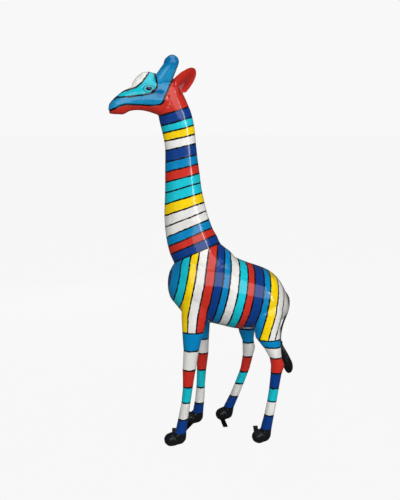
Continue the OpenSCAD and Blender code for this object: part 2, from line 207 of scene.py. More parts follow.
def ball(centre, radius, rings=8):
    """Points on a sphere."""
    turns = [(math.pi * i / rings, math.pi * j / rings) for i in range(rings + 1) for j in range(2 * rings)]
    unit = np.array([(math.sin(a) * math.cos(b), math.sin(a) * math.sin(b), math.cos(a)) for a, b in turns])
    return np.array(centre) + radius * unit


# ---------------------------------------------------------------- the skin
def gathered(parts):
    """Several (vertices, faces) heaps as one."""
    all_co, all_faces, base = [], [], 0
    for co, faces in parts:
        all_co.append(co)
        all_faces += [tuple(base + i for i in f) for f in faces]
        base += len(co)
    return np.concatenate(all_co), all_faces


def skin_parts():
    names = [f"{part}_shell_{side}" for part in ("trunk", "neck", "head") for side in SIDES]
    names += [f"leg_{end}_{side}" for end in ("front", "rear") for side in SIDES]
    names += [f"horn_{side}" for side in SIDES] + ["tail_wire"]
    parts = [mesh_arrays(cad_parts[name]) for name in names]
    for side in SIDES:
        co, faces = mesh_arrays(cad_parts[f"eye_{side}"])
        centre = co.mean(axis=0)
        parts.append((centre + 0.8 * (co - centre), faces))
        sign = SIDES[side]
        low_ball = ball((sign * 34 * MM, -232 * MM, 1880 * MM), 31 * MM)
        top_ball = ball((sign * 39 * MM, -184 * MM, 1945 * MM), 30 * MM)
        parts.append(convex(np.concatenate([low_ball, top_ball])))
        for end in ("front", "rear"):
            parts.append(convex(mesh_arrays(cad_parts[f"hoof_{end}_{side}"])[0]))
    return parts


def heights_over(co, joint):
    """Height of many points above a joint's plane, measured square to it."""
    y, z, tilt = joint
    return (co[:, 2] - z) * math.cos(tilt) - (co[:, 1] - y) * math.sin(tilt)


def build_skin():
    co, faces = remeshed(*gathered(skin_parts()), SKIN_VOXEL)
    co, faces = outer_skin(co, faces)
    pairs = edge_pairs(faces)
    sole = co[:, 2] < 1.5 * MM
    slim = np.clip((co[:, 2] - 560 * MM) / (80 * MM), 0, 1)
    head = np.clip((co[:, 2] - 1690 * MM) / (60 * MM), 0, 1)
    co = smoothed(co, pairs, 14)
    brow = bump(co, (0, -300 * MM, 1885 * MM), (60 * MM, 75 * MM, 38 * MM))
    co = smoothed(co, pairs, 60, weight=slim * (1 - 0.75 * head * (1 - brow)))
    co[sole, 2] = 0
    co[:, 2] = np.maximum(co[:, 2], 0)
    co = sculpted(co, faces)
    return co, faces


def sculpted(co, faces):
    """Muscle and bone on the whole skin, pushed along its normals."""
    normal = vertex_normals(co, faces)
    at = co.copy()
    at[:, 0] = np.abs(at[:, 0])
    push = 5 * MM * bump(at, (150 * MM, -70 * MM, 740 * MM), (70 * MM, 60 * MM, 90 * MM))
    push += 5 * MM * bump(at, (150 * MM, 320 * MM, 740 * MM), (70 * MM, 70 * MM, 100 * MM))
    push -= 4 * MM * bump(at, (165 * MM, 215 * MM, 640 * MM), (60 * MM, 50 * MM, 60 * MM))
    return co + normal * push[:, None]


# ---------------------------------------------------------------- paint fields
def banded(height, lines):
    """Band number along falling line heights, and bands per metre. lines is one array per line."""
    stack = np.stack(lines)
    band = np.full(len(height), -0.5)
    rate = np.full(len(height), SPARE_RATE)
    for i in range(len(lines) - 1):
        top, low = stack[i], stack[i + 1]
        inside = (height <= top) & (height > low)
        band[inside] = (i + (top - height) / (top - low))[inside]
        rate[inside] = (1 / (top - low))[inside]
    above = height > stack[0]
    band[above] = (-(height - stack[0]) * SPARE_RATE)[above]
    under = height <= stack[-1]
    band[under] = (len(lines) - 1 + (stack[-1] - height) * SPARE_RATE)[under]
    return band, rate


# Neck lines from the top down: the colour under the line, its height over y = -110, and its slope
NECK_LINES = [
    (NAVY, 1745, 0.30), (TURQ, 1691, 0.29), (YELLOW, 1649, 0.26), (WHITE, 1604, 0.23),
    (NAVY, 1556, 0.23), (MID, 1499, 0.24), (RED, 1449, 0.25), (TURQ, 1399, 0.26),
    (TURQ, 1348, 0.28), (YELLOW, 1292, 0.30), (WHITE, 1236, 0.33), (WHITE, 1182, 0.38),
    (MID, 1128, 0.41), (RED, 1077, 0.42), (NAVY, 1030, 0.42), (NAVY, 979, 0.42)
]
# Trunk stripes from the breast back: the stripe's colour, and the place of its rear edge at z = 800
TRUNK_LINES = [
    (NAVY, -206), (MID, -170), (TURQ, -132), (YELLOW, -93), (WHITE, -45), (RED, 3), (NAVY, 47),
    (MID, 85), (WHITE, 134), (TURQ, 181), (RED, 221), (NAVY, 272), (MID, 310), (YELLOW, 358),
    (WHITE, 399), (WHITE, 470)
]
# Leg bands from the joint down: the band's colour, and the height of its lower edge
LEG_LINES = {
    "front_left": [(MID, 520), (WHITE, 416), (RED, 322), (TURQ, 237), (WHITE, 145), (NAVY, 66)],
    "front_right": [(MID, 502), (WHITE, 418), (RED, 320), (TURQ, 217), (WHITE, 125), (NAVY, 60)],
    "rear_left": [
        (MID, 529), (WHITE, 469), (RED, 387), (NAVY, 304), (TURQ, 232), (WHITE, 154), (NAVY, 74)
    ],
    "rear_right": [
        (NAVY, 540), (MID, 458), (WHITE, 374), (RED, 286), (TURQ, 216), (WHITE, 142), (NAVY, 72)
    ],
}
# Head lines seen from the side, as points [y, z]
MOUTH_LINE = [
    (-520, 1712), (-485, 1729), (-455, 1742), (-430, 1754), (-400, 1761), (-335, 1759), (-269, 1756),
    (-236, 1761), (-220, 1773), (-214, 1796), (-200, 1824), (-182, 1861), (-165, 1895), (-140, 1960)
]
CHEEK_LINE = [
    (-520, 1770), (-462, 1788), (-443, 1796), (-378, 1799), (-312, 1808), (-279, 1813), (-260, 1829),
    (-248, 1850), (-251, 1874), (-258, 1904), (-268, 1980)
]
BROW_LINE = [
    (-440, 1818), (-409, 1825), (-376, 1835), (-345, 1847), (-322, 1867), (-304, 1890), (-290, 1908),
    (-262, 1960)
]


def neck_field(co):
    """The neck's rings: they rise on the flanks, more so lower down."""
    lift = 0.26 * np.abs(co[:, 0]) * np.clip((1700 * MM - co[:, 2]) / (700 * MM), 0, 1)
    lines = [z * MM + slope * (co[:, 1] + 110 * MM) + lift for _, z, slope in NECK_LINES]
    return (*banded(co[:, 2], lines), co[:, 2] - lines[-1])


def trunk_field(co):
    """The trunk's stripes: they lean forward on the way down, and steepen on the legs."""
    rise = co[:, 2] - 800 * MM
    bend = np.interp(co[:, 1] / MM, [-130, -93, 0, 180, 400], [-0.2, -0.15, 0.0, 0.0, 0.2])
    place = co[:, 1] - 0.2 * rise - bend * np.minimum(rise + 100 * MM, 0)
    lines = [np.full(len(co), -y * MM) for _, y in TRUNK_LINES]
    return banded(-place, [np.full(len(co), -AHEAD)] + lines)


def leg_field(co, key, joint):
    """A leg's level bands, from its joint down."""
    lines = [np.full(len(co), joint)] + [np.full(len(co), z * MM) for _, z in LEG_LINES[key]]
    return banded(co[:, 2], lines)


def side_distance(co, points):
    """Signed distance to a line drawn on the side view: positive above it."""
    p = np.array(points) * MM
    at = co[:, 1:3]
    best = np.full(len(co), 9.0)
    sign = np.ones(len(co))
    for a, b in zip(p[:-1], p[1:]):
        along = b - a
        t = np.clip(((at - a) @ along) / (along @ along), 0, 1)
        gap = at - (a + t[:, None] * along)
        distance = np.linalg.norm(gap, axis=1)
        side = along[0] * (at[:, 1] - a[1]) - along[1] * (at[:, 0] - a[0])
        nearer = distance < best - 1e-9
        best[nearer] = distance[nearer]
        sign[nearer] = np.sign(side)[nearer]
    return best * sign


# ---------------------------------------------------------------- materials
def shader(name, roughness=0.16, coat=0.85):
    """A new material, its node tree and its shader, under a clear coat."""
    mat = bpy.data.materials.new(name)
    mat.use_nodes = True
    nodes = mat.node_tree.nodes
    bsdf = nodes["Principled BSDF"]
    bsdf.inputs["Roughness"].default_value = roughness
    bsdf.inputs["Coat Weight"].default_value = coat
    bsdf.inputs["Coat Roughness"].default_value = 0.035
    bsdf.inputs["Coat IOR"].default_value = 1.5
    bsdf.inputs["Specular IOR Level"].default_value = 0.2
    return mat, mat.node_tree, bsdf


class Graph:
    """Short calls for the nodes that the paints are made of."""

    def __init__(self, tree):
        self.tree = tree

    def node(self, kind, **settings):
        made = self.tree.nodes.new(kind)
        for key, value in settings.items():
            setattr(made, key, value)
        return made

    def set(self, socket, value):
        if isinstance(value, bpy.types.NodeSocket):
            self.tree.links.new(value, socket)
        else:
            socket.default_value = value

    def math(self, operation, a, b=0.0, c=0.0):
        made = self.node("ShaderNodeMath", operation=operation)
        for socket, value in zip(made.inputs, (a, b, c)):
            self.set(socket, value)
        return made.outputs[0]

    def attribute(self, name):
        return self.node("ShaderNodeAttribute", attribute_name=name).outputs["Fac"]

    def place(self):
        return self.node("ShaderNodeTexCoord").outputs["Object"]

    def noise(self, scale, detail=2.0, stretch=None, rough=0.5):
        made = self.node("ShaderNodeTexNoise")
        vector = self.place()
        if stretch:
            mapping = self.node("ShaderNodeMapping")
            self.set(mapping.inputs["Vector"], vector)
            mapping.inputs["Scale"].default_value = stretch
            vector = mapping.outputs[0]
        self.set(made.inputs["Vector"], vector)
        made.inputs["Scale"].default_value = scale
        made.inputs["Detail"].default_value = detail
        made.inputs["Roughness"].default_value = rough
        return made.outputs["Fac"]

    def remap(self, value, a, b, c=0.0, d=1.0, smooth=True):
        made = self.node("ShaderNodeMapRange")
        made.interpolation_type = "SMOOTHSTEP" if smooth else "LINEAR"
        for socket, number in zip(made.inputs, (value, a, b, c, d)):
            self.set(socket, number)
        return made.outputs[0]

    def mix(self, factor, a, b, blend="MIX"):
        made = self.node("ShaderNodeMix", data_type="RGBA", blend_type=blend)
        self.set(made.inputs[0], factor)
        for socket, value in ((made.inputs[6], a), (made.inputs[7], b)):
            self.set(socket, value if isinstance(value, bpy.types.NodeSocket) else (*value, 1))
        return made.outputs[2]

    def steps(self, value, colours):
        """A colour for each whole number of value."""
        made = self.node("ShaderNodeValToRGB")
        ramp = made.color_ramp
        ramp.interpolation = "CONSTANT"
        while len(ramp.elements) < len(colours):
            ramp.elements.new(1.0)
        for i, colour in enumerate(colours):
            ramp.elements[i].position = i / len(colours)
            ramp.elements[i].color = (*colour, 1)
        self.set(made.inputs[0], self.math("DIVIDE", value, float(len(colours))))
        return made.outputs[0]

    def bumped(self, bsdf, height, distance, strength=1.0):
        made = self.node("ShaderNodeBump")
        made.inputs["Strength"].default_value = strength
        made.inputs["Distance"].default_value = distance
        self.set(made.inputs["Height"], height)
        self.set(bsdf.inputs["Normal"], made.outputs[0])
        self.set(bsdf.inputs["Coat Normal"], made.outputs[0])


def painted(graph, bsdf, colour, line):
    """Hand-laid enamel: uneven colour, black outlines, and a slightly rippled clear coat."""
    shade = graph.remap(graph.noise(9.0, 3.0), 0.3, 0.7, 0.90, 1.04)
    streak = graph.remap(graph.noise(38.0, 3.0, (1, 1, 0.35)), 0.3, 0.7, 0.95, 1.03)
    scale = graph.math("MULTIPLY", shade, streak)
    grey = graph.node("ShaderNodeCombineColor")
    for socket in grey.inputs[:3]:
        graph.set(socket, scale)
    colour = graph.mix(1.0, colour, grey.outputs[0], "MULTIPLY")
    colour = graph.mix(line, colour, BLACK)
    graph.set(bsdf.inputs["Base Color"], colour)
    graph.set(bsdf.inputs["Roughness"], graph.remap(graph.noise(24.0, 2.0), 0.2, 0.8, 0.13, 0.24))
    fine = graph.math("MULTIPLY", graph.noise(130.0, 2.0), 0.10)
    raised = graph.math("MULTIPLY", line, 0.10)
    height = graph.math("ADD", graph.math("ADD", graph.noise(22.0, 1.0), fine), raised)
    graph.bumped(bsdf, height, 1.1 * MM, 0.55)


def line_mask(graph, distance, half, soft=0.5 * MM):
    """1 on the outline, 0 off it, with a brush's uneven width."""
    wide = graph.remap(graph.noise(55.0, 2.0), 0.3, 0.7, 0.72, 1.28)
    half = graph.math("MULTIPLY", wide, half)
    return graph.remap(graph.math("SUBTRACT", distance, half), -soft, soft, 1.0, 0.0)


def stripes(graph, band, rate, colours):
    """The colour of each stripe, and the distance to the nearest border, which strays a little."""
    stray = graph.remap(graph.noise(14.0, 2.0), 0.2, 0.8, -STRAY, STRAY, smooth=False)
    rate = graph.attribute(rate)
    band = graph.math("ADD", graph.attribute(band), graph.math("MULTIPLY", stray, rate))
    fraction = graph.math("FRACT", graph.math("ADD", band, 0.5))
    off = graph.math("ABSOLUTE", graph.math("SUBTRACT", fraction, 0.5))
    return graph.steps(band, colours), graph.math("DIVIDE", off, rate)


def leg_paint(key):
    """The bands of one leg."""
    mat, tree, bsdf = shader(f"leg_{key}_paint")
    graph = Graph(tree)
    colour, distance = stripes(graph, "band", "rate", [colour for colour, _ in LEG_LINES[key]])
    painted(graph, bsdf, colour, line_mask(graph, distance, LINE))
    return mat


def body_paint():
    """The neck's rings above the collar line, and the trunk's stripes below it."""
    mat, tree, bsdf = shader("body_paint")
    graph = Graph(tree)
    neck, neck_line = stripes(graph, "neck_band", "neck_rate", [c for c, _, _ in NECK_LINES[:-1]])
    trunk, trunk_line = stripes(graph, "band", "rate", [c for c, _ in TRUNK_LINES])
    collar = graph.attribute("collar")
    above = graph.math("GREATER_THAN", collar, 0.0)
    line = graph.math("ADD", graph.math("MULTIPLY", neck_line, above),
                      graph.math("MULTIPLY", trunk_line, graph.math("SUBTRACT", 1.0, above)))
    line = graph.math("MINIMUM", line, graph.math("ABSOLUTE", collar))
    line = graph.math("MINIMUM", line, graph.attribute("rim"))
    painted(graph, bsdf, graph.mix(above, trunk, neck), line_mask(graph, line, LINE))
    return mat


def head_paint():
    """Blue cheeks with a painted sheen and painted shade in the hollow below the eye, turquoise round the
    eyes, a white forehead and a red jaw, each with an outline.
    """
    mat, tree, bsdf = shader("head_paint")
    graph = Graph(tree)
    mouth, cheek, brow = (graph.attribute(n) for n in ("mouth", "cheek", "brow"))
    # Painted shade: the blue darkens in the hollow below the eye
    colour = graph.mix(graph.attribute("hollow"), HEAD_BLUE_WITH_SHEEN, PAINTED_SHADE_BLUE)
    colour = graph.mix(graph.math("GREATER_THAN", cheek, 0.0), colour, TURQ)
    colour = graph.mix(graph.math("GREATER_THAN", brow, 0.0), colour, WHITE)
    colour = graph.mix(graph.math("LESS_THAN", mouth, 0.0), colour, RED)
    colour = graph.mix(graph.attribute("lid"), colour, LID_BLUE)
    colour = graph.mix(graph.attribute("fold"), colour, FOLD_BLUE)
    thick = graph.math("MULTIPLY_ADD", graph.attribute("stroke"), 6.0 * MM, LINE)
    lines = line_mask(graph, graph.math("ABSOLUTE", mouth), 4.4 * MM)
    lines = graph.math("MAXIMUM", lines, line_mask(graph, graph.math("ABSOLUTE", cheek), thick))
    lines = graph.math("MAXIMUM", lines, line_mask(graph, graph.math("ABSOLUTE", brow), LINE))
    lines = graph.math("MAXIMUM", lines, line_mask(graph, graph.attribute("rim"), LINE))
    lines = graph.math("MAXIMUM", lines, graph.attribute("dark"))
    painted(graph, bsdf, colour, lines)
    return mat


def plain_paint(name, colour, dark):
    """One colour that deepens to another where the mesh says so: painted shade."""
    mat, tree, bsdf = shader(name)
    graph = Graph(tree)
    painted(graph, bsdf, graph.mix(graph.attribute("shade"), colour, dark), 0.0)
    return mat


def hoof_paint():
    """Black enamel, scuffed grey in short strokes on the toe."""
    mat, tree, bsdf = shader("hoof_paint", roughness=0.3, coat=0.4)
    graph = Graph(tree)
    scuff = graph.remap(graph.noise(30.0, 6.0, (1.0, 2.2, 3.2), 0.7), 0.56, 0.74)
    patch = graph.remap(graph.noise(12.0, 3.0), 0.45, 0.62)
    worn = graph.math("MULTIPLY", graph.math("MULTIPLY", scuff, patch), 0.75)
    colour = graph.mix(worn, (0.008, 0.009, 0.011), (0.17, 0.18, 0.19))
    graph.set(bsdf.inputs["Base Color"], colour)
    graph.set(bsdf.inputs["Roughness"], graph.remap(worn, 0.0, 0.6, 0.26, 0.6))
    height = graph.math("ADD", graph.noise(60.0, 4.0), graph.math("MULTIPLY", scuff, -0.5))
    graph.bumped(bsdf, height, 0.8 * MM, 0.7)
    return mat


def steel(name, colour, rough):
    """Drawn steel with a fine grain."""
    mat, tree, bsdf = shader(name, rough, 0.0)
    graph = Graph(tree)
    bsdf.inputs["Metallic"].default_value = 0.85
    grain = graph.noise(90.0, 4.0, (1, 1, 0.25))
    tone = graph.mix(graph.remap(grain, 0.3, 0.7), colour, tuple(0.6 * c for c in colour))
    graph.set(bsdf.inputs["Base Color"], tone)
    graph.set(bsdf.inputs["Roughness"], graph.remap(grain, 0.2, 0.8, rough - 0.1, rough + 0.15))
    graph.bumped(bsdf, grain, 0.3 * MM, 0.4)
    return mat


def laminate():
    """Bare glass-fibre board with its strands showing."""
    mat, tree, bsdf = shader("laminate", 0.55, 0.0)
    graph = Graph(tree)
    strands = graph.noise(160.0, 5.0, (1, 0.2, 1))
    colour = graph.mix(graph.remap(strands, 0.35, 0.65), (0.52, 0.45, 0.27), (0.66, 0.60, 0.40))
    graph.set(bsdf.inputs["Base Color"], colour)
    graph.bumped(bsdf, strands, 0.5 * MM, 0.5)
    return mat


def eye_paint(side):
    """A wet-looking ball, nearly black, with navy clouds."""
    mat, tree, bsdf = shader(f"eye_paint_{side}", 0.06, 1.0)
    graph = Graph(tree)
    cloud = graph.remap(graph.noise(60.0, 3.0), 0.3, 0.7)
    colour = graph.mix(cloud, (0.002, 0.006, 0.03), (0.003, 0.016, 0.08))
    graph.set(bsdf.inputs["Base Color"], colour)
    graph.bumped(bsdf, graph.noise(40.0), 0.2 * MM, 0.2)
    return mat


# ---------------------------------------------------------------- cutting the skin into its castings
def plane_cut(shape, keep, co, normal):
    """Cuts the faces that keep() picks by one plane."""
    faces = [f for f in shape.faces if keep(f.calc_center_median())]
    edges = {e for f in faces for e in f.edges}
    verts = {v for f in faces for v in f.verts}
    bmesh.ops.bisect_plane(
        shape, geom=[*verts, *edges, *faces], dist=1e-6, plane_co=co, plane_no=normal)


def joint_plane(joint):
    """A point on a tilted joint's plane, and the plane's normal."""
    y, z, tilt = joint
    return Vector((0, y, z)), Vector((0, -math.sin(tilt), math.cos(tilt)))


def is_front(c):
    """True on a front leg's side of the belly, or on a front hoof."""
    return c.y < FRONT_LEG_REAR if c.z > 200 * MM else c.y < 30 * MM


def in_leg(c):
    """True beside the belly, where a leg's joint may cut the skin."""
    return abs(c.x) > (45 if is_front(c) else 80) * MM


def height_over(c, joint):
    """Height of one point above a joint's plane."""
    point, normal = joint_plane(joint)
    return (c - point).dot(normal)


def casting_of(c):
    """The name of the casting that a face belongs to, from the face's middle."""
    side = "left" if c.x > 0 else "right"
    end = "front" if is_front(c) else "rear"
    if c.z < HOOF_TOP:
        return f"hoof_{end}_{side}"
    if c.z < (FRONT_JOINT if end == "front" else REAR_JOINT) and (in_leg(c) or c.z < 500 * MM):
        return f"leg_{end}_{side}"
    if height_over(c, NECK_JOINT) < 0:
        return f"trunk_shell_{side}"
    if height_over(c, HEAD_JOINT) < 0:
        return f"neck_shell_{side}"
    return f"horn_{side}" if c.z > HORN_CUT else f"head_shell_{side}"


def cut_up(co, faces):
    """The skin, cut at every joint: {casting: (vertices, normals, faces)}."""
    shape = bmesh.new()
    for c in co:
        shape.verts.new(c)
    shape.verts.ensure_lookup_table()
    for f in faces:
        shape.faces.new([shape.verts[i] for i in f])
    up = Vector((0, 0, 1))
    plane_cut(shape, lambda c: c.z < 200 * MM, (0, 0, HOOF_TOP), up)
    plane_cut(shape, lambda c: c.z < 700 * MM and is_front(c) and in_leg(c), (0, 0, FRONT_JOINT), up)
    plane_cut(shape, lambda c: c.z < 580 * MM and not is_front(c) and in_leg(c), (0, 0, REAR_JOINT), up)
    plane_cut(shape, lambda c: 800 * MM < c.z < 1200 * MM, *joint_plane(NECK_JOINT))
    plane_cut(shape, lambda c: 1600 * MM < c.z < 1850 * MM, *joint_plane(HEAD_JOINT))
    plane_cut(shape, lambda c: c.z > 1880 * MM, (0, 0, HORN_CUT), up)
    plane_cut(shape, lambda c: c.z > 500 * MM, (0, 0, 0), Vector((1, 0, 0)))
    detailed(shape)
    shape.normal_update()
    shape.verts.index_update()
    out = {}
    for f in shape.faces:
        out.setdefault(casting_of(f.calc_center_median()), []).append([v.index for v in f.verts])
    all_co = np.array([v.co for v in shape.verts])
    all_normals = np.array([v.normal for v in shape.verts])
    shape.free()
    cut = {}
    for name, group in out.items():
        used = sorted({i for f in group for i in f})
        number = {old: new for new, old in enumerate(used)}
        cut[name] = (all_co[used], all_normals[used], [tuple(number[i] for i in f) for f in group])
    return cut


def needs_detail(c):
    """True on the head and the hooves."""
    return height_over(c, HEAD_JOINT) > 0 or c.z < HOOF_TOP


def hoof_push(co):
    """A cleft down the front of each toe, and a crease where the toe meets the ankle."""
    push = np.zeros(len(co))
    for end in ("front", "rear"):
        for side in SIDES:
            low, high = (np.array(c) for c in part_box(f"hoof_{end}_{side}"))
            middle = (low[0] + high[0]) / 2
            toe = low[1]
            near = (co[:, 0] > low[0] - 5 * MM) & (co[:, 0] < high[0] + 5 * MM)
            near &= (co[:, 1] > low[1] - 5 * MM) & (co[:, 1] < high[1] + 5 * MM)
            front = np.clip((toe + 45 * MM - co[:, 1]) / (30 * MM), 0, 1)
            cleft = np.exp(-((co[:, 0] - middle) / (3.4 * MM)) ** 2) * front
            behind = co[:, 1] - toe - 58 * MM + 0.5 * (co[:, 2] - 50 * MM)
            crease = np.exp(-(behind / (6 * MM)) ** 2)
            crease *= np.clip((co[:, 2] - 30 * MM) / (20 * MM), 0, 1)
            push -= near * (3.5 * MM * cleft + 5 * MM * crease) * (co[:, 2] > 2 * MM)
    return push


def detailed(shape):
    """Splits the head's and the hooves' faces finer, then shapes their features."""
    fine = [f for f in shape.faces if needs_detail(f.calc_center_median())]
    edges = list({e for f in fine for e in f.edges})
    bmesh.ops.subdivide_edges(shape, edges=edges, cuts=1, use_grid_fill=True)
    head = [v for v in shape.verts if height_over(v.co, HEAD_JOINT) > 4 * MM]
    axes = {"use_axis_x": True, "use_axis_y": True, "use_axis_z": True}
    for _ in range(2):
        bmesh.ops.smooth_vert(shape, verts=head, factor=0.5, **axes)
    shape.normal_update()
    co = np.array([v.co for v in head])
    normal = np.array([v.normal for v in head])
    moved = co + head_push(co)[:, None] * normal
    for v, c in zip(head, moved):
        v.co = c
    hooves = [v for v in shape.verts if v.co.z < HOOF_TOP - 1 * MM]
    co = np.array([v.co for v in hooves])
    moved = co + hoof_push(co)[:, None] * np.array([v.normal for v in hooves])
    for v, c in zip(hooves, moved):
        v.co = c


def eye_ring(co):
    """Place round the eye: 1 on the edge of the almond opening."""
    low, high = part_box("eye_left")
    eye = (np.array(low) + np.array(high)) / 2
    dy, dz = co[:, 1] - eye[1], co[:, 2] - eye[2]
    return np.sqrt((dy / (15.5 * MM)) ** 2 + (dz / (9.5 * MM)) ** 2), dy, dz


def head_push(co):
    """How far each point of the head stands out or in, along its normal."""
    at = co.copy()
    at[:, 0] = np.abs(at[:, 0])
    ring, dy, dz = eye_ring(at)
    out_side = np.clip((at[:, 0] - 35 * MM) / (10 * MM), 0, 1)
    push = 7.0 * MM * np.exp(-((ring - 1.35) / 0.38) ** 2) * out_side
    over_eye = (dz > 0) * np.clip(dz / (9 * MM), 0, 1)
    push += 3.0 * MM * np.exp(-((ring - 2.5) / 0.35) ** 2) * out_side * over_eye
    push -= 8.0 * MM * bump(at, (62 * MM, -236 * MM, 1812 * MM), (40 * MM, 22 * MM, 18 * MM))
    push += 5.0 * MM * bump(at, (60 * MM, -268 * MM, 1782 * MM), (40 * MM, 60 * MM, 13 * MM))
    push -= 4.0 * MM * bump(at, (45 * MM, -350 * MM, 1800 * MM), (30 * MM, 45 * MM, 14 * MM))
    push -= 5.0 * MM * bump(at, (30 * MM, -464 * MM, 1786 * MM), (14 * MM, 9 * MM, 5 * MM))
    push += 3.0 * MM * bump(at, (34 * MM, -458 * MM, 1772 * MM), (20 * MM, 22 * MM, 10 * MM))
    mouth = side_distance(at, MOUTH_LINE[:8])
    front = np.clip((-230 * MM - at[:, 1]) / (30 * MM), 0, 1)
    push -= 3.6 * MM * np.exp(-(mouth / (3.2 * MM)) ** 2) * front
    push += 1.8 * MM * np.exp(-((mouth - 9 * MM) / (6 * MM)) ** 2) * front
    jaw = bump(at, (55 * MM, -236 * MM, 1735 * MM), (40 * MM, 40 * MM, 22 * MM))
    push += 5.0 * MM * jaw
    groove = np.exp(-((at[:, 1] + 193 * MM) / (9 * MM)) ** 2)
    groove *= np.clip((1860 * MM - at[:, 2]) / (80 * MM), 0, 1)
    push -= 3.0 * MM * groove * np.clip((at[:, 2] - 1760 * MM) / (30 * MM), 0, 1)
    return push


def shell_object(name, co, normals, faces, wall, fields):
    """A closed casting: the outer face, the same face one wall in, and a rim that joins them."""
    count = len(co)
    edge_use = {}
    for f in faces:
        for a, b in zip(f, f[1:] + f[:1]):
            edge_use[(a, b)] = True
    rim = [(a, b) for a, b in edge_use if (b, a) not in edge_use]
    inner = [tuple(count + i for i in reversed(f)) for f in faces]
    rims = [(b, a, count + a, count + b) for a, b in rim]
    obj = new_object(name, np.concatenate([co, co - normals * wall]), list(faces) + inner + rims)
    mesh = obj.data
    for polygon in mesh.polygons:
        polygon.use_smooth = True
    both = np.concatenate([normals, -normals])
    loop_vertex = np.empty(len(mesh.loops), np.int32)
    mesh.loops.foreach_get("vertex_index", loop_vertex)
    loop_normals = both[loop_vertex]
    first_rim = 2 * len(faces)
    for polygon in mesh.polygons[first_rim:]:
        for i in polygon.loop_indices:
            loop_normals[i] = polygon.normal
    mesh.normals_split_custom_set([tuple(n) for n in loop_normals])
    for key, values in fields.items():
        layer = mesh.attributes.new(key, "FLOAT", "POINT")
        layer.data.foreach_set("value", np.concatenate([values, values]).astype(np.float32))
    return obj


def leg_rim(co):
    """Distance to the joint line round the top of the nearest leg."""
    rim = np.full(len(co), 1.0)
    for end, joint in (("front", FRONT_JOINT), ("rear", REAR_JOINT)):
        for side in SIDES:
            low, high = (np.array(corner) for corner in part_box(f"leg_{end}_{side}"))
            near = (co[:, 0] > low[0] - MM) & (co[:, 0] < high[0] + MM)
            near &= (co[:, 1] > low[1] - MM) & (co[:, 1] < high[1] + MM)
            rim[near] = np.abs(co[near, 2] - joint)
    return rim


def body_fields(co, normals):
    """Everything that the body paint reads."""
    neck_band, neck_rate, collar = neck_field(co)
    band, rate = trunk_field(co)
    facing = normals @ np.array([0, 0.98, -0.196])
    slant = np.sqrt(np.clip(1 - facing ** 2, 0.04, 1))
    return {
        "neck_band": np.maximum(neck_band, 0), "neck_rate": neck_rate, "collar": collar,
        "band": np.maximum(band, 0), "rate": rate * slant, "rim": leg_rim(co),
    }


def head_fields(co):
    """Everything that the head paint reads."""
    at = co.copy()
    at[:, 0] = np.abs(at[:, 0])
    ring, dy, dz = eye_ring(at)
    outward = np.clip((at[:, 0] - 35 * MM) / (8 * MM), 0, 1)
    lid = np.exp(-((ring - 1.2) / 0.34) ** 2) * outward
    fold = np.exp(-((ring - 1.75) / 0.2) ** 2) * outward * np.clip(0.5 + dz / (8 * MM), 0, 1)
    dark = bump(at, (30 * MM, -464 * MM, 1786 * MM), (16 * MM, 8 * MM, 4 * MM))
    return {
        "mouth": side_distance(at, MOUTH_LINE),
        "cheek": side_distance(at, CHEEK_LINE),
        "brow": side_distance(at, BROW_LINE),
        "rim": np.abs(heights_over(co, HEAD_JOINT)),
        "lid": lid,
        "fold": fold,
        "dark": np.clip(1.5 * dark, 0, 1),
        "stroke": bump(at[:, 1:], (-264 * MM, 1824 * MM), (14 * MM, 14 * MM)),
        # hollow: painted shade, darkest in the hollow below the eye
        "hollow": np.clip(1.5 * bump(at[:, 1:], (-236 * MM, 1816 * MM), (24 * MM, 20 * MM)), 0, 1),
    }


def skin_pieces():
    """The skin's castings, each painted and riding in place of its CAD node."""
    castings = cut_up(*build_skin())
    body, head, hoof = body_paint(), head_paint(), hoof_paint()
    # The horns' blue darkens towards their tops: painted shade
    horn = plain_paint("horn_paint", MID, PAINTED_SHADE_BLUE)
    for name, (co, normals, faces) in castings.items():
        slot = "painted_shell"
        if name.startswith(("neck", "trunk")):
            fields, mat = body_fields(co, normals), body
        elif name.startswith("leg"):
            key = name.removeprefix("leg_")
            band, rate = leg_field(co, key, FRONT_JOINT if "front" in name else REAR_JOINT)
            fields = {"band": band, "rate": rate}
            mat = leg_paint(key)
        elif name.startswith("head"):
            fields, mat = head_fields(co), head
        elif name.startswith("horn"):
            # Painted shade: darker towards the top of the horn
            fields, mat = {"shade": np.clip((co[:, 2] - 1935 * MM) / (50 * MM), 0, 0.8)}, horn
        else:
            fields, mat, slot = {}, hoof, "black_hoof"
        piece = shell_object(f"{name}_skin", co, normals, faces, SKIN_WALL, fields)
        piece.data.materials.append(mat)
        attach(piece, "root")
        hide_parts(name)


# ---------------------------------------------------------------- ears, eyes, tail, tabs
def ear_point(side, t, u, layer):
    """A point of the ear: t runs from its root to its tip, u from its upper to its lower edge."""
    sign = SIDES[side]
    root = np.array([sign * 47 * MM, -150 * MM, 1842 * MM])
    along = np.array([sign * 0.34, 0.72, 0.605])
    along /= np.linalg.norm(along)
    down = np.array([sign * 0.16, 0.60, -0.78])
    down -= along * (down @ along)
    down /= np.linalg.norm(down)
    out = np.cross(down, along) * sign
    root_width = 0.5 + 0.5 * math.sin(0.5 * math.pi * min(1, t / 0.2))
    width = 43 * MM * math.sqrt(max(0.0, 1 - t ** 2.6)) * root_width
    middle = (5 - 17 * t) * MM
    cup = 17 * MM * (1 - abs(u) ** 2.2) * math.sin(math.pi * min(1, 0.16 + 0.8 * t)) ** 0.7
    curl = 7 * MM * t * t
    thick = 3.6 * MM * (1 - 0.5 * abs(u) ** 3) * (1 - 0.45 * t)
    return root + along * 129 * MM * t + down * (middle + width * u) + out * (layer * thick - cup + curl)


